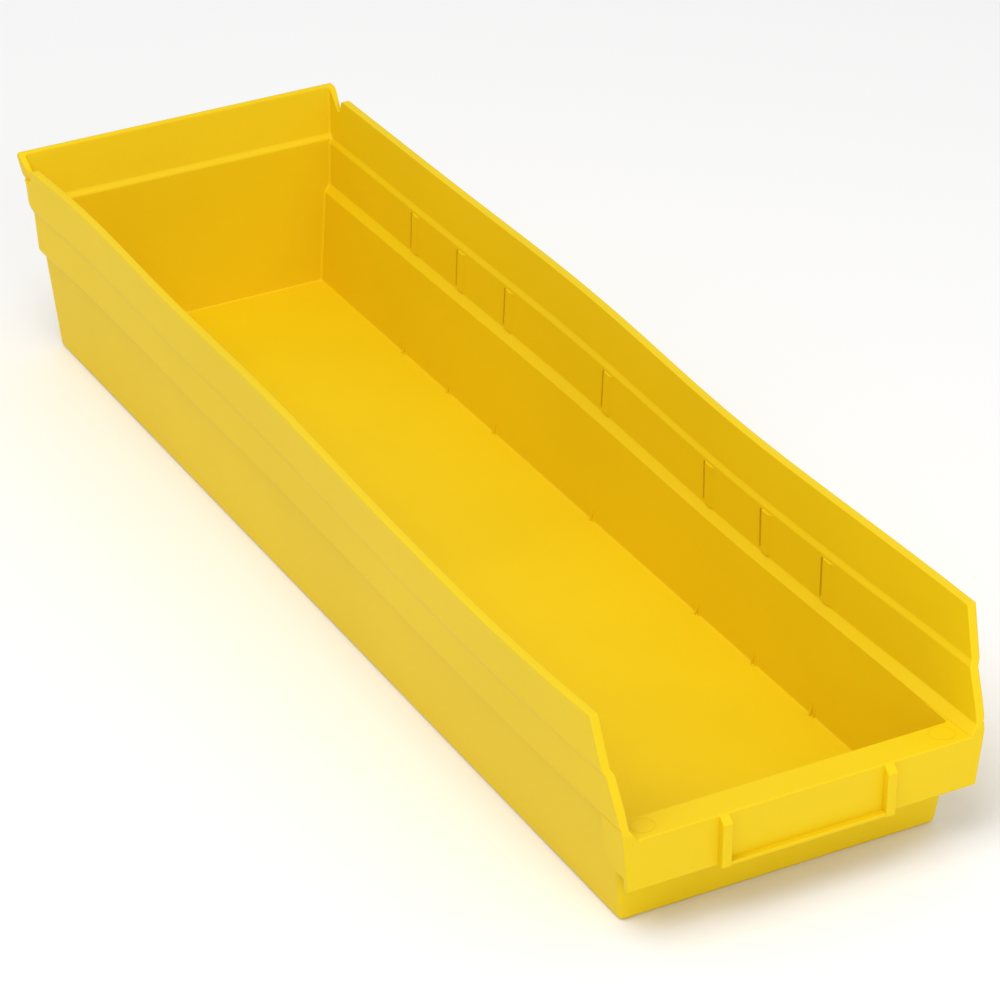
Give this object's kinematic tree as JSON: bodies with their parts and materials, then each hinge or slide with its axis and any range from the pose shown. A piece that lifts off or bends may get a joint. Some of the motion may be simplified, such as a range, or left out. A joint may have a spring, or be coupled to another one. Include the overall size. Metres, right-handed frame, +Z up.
{
  "type": "nesting shelf bin",
  "caption": "Long open-fronted plastic shelf bin with stepped drafted walls, rear hanging lip, front ledge and label holder.",
  "frame": {"origin": "centre of the bounding box at the underside of the floor", "axes": "+Z up, +Y towards the rear wall and its hanging lip, -Y towards the open front, +X across the width"},
  "size_m": [0.1682, 0.5996, 0.102],
  "materials": {
    "moulding": "satin yellow polypropylene"
  },
  "bodies": {
    "root": {"floor_panel": "moulding", "left_side_wall": "moulding", "right_side_wall": "moulding", "rear_wall": "moulding", "rear_hanging_lip": "moulding", "front_wall": "moulding", "front_ledge": "moulding", "left_ledge_cheek": "moulding", "right_ledge_cheek": "moulding", "front_apron": "moulding", "label_left_rail": "moulding", "label_right_rail": "moulding", "label_bottom_rail": "moulding"}
  },
  "joints": []
}
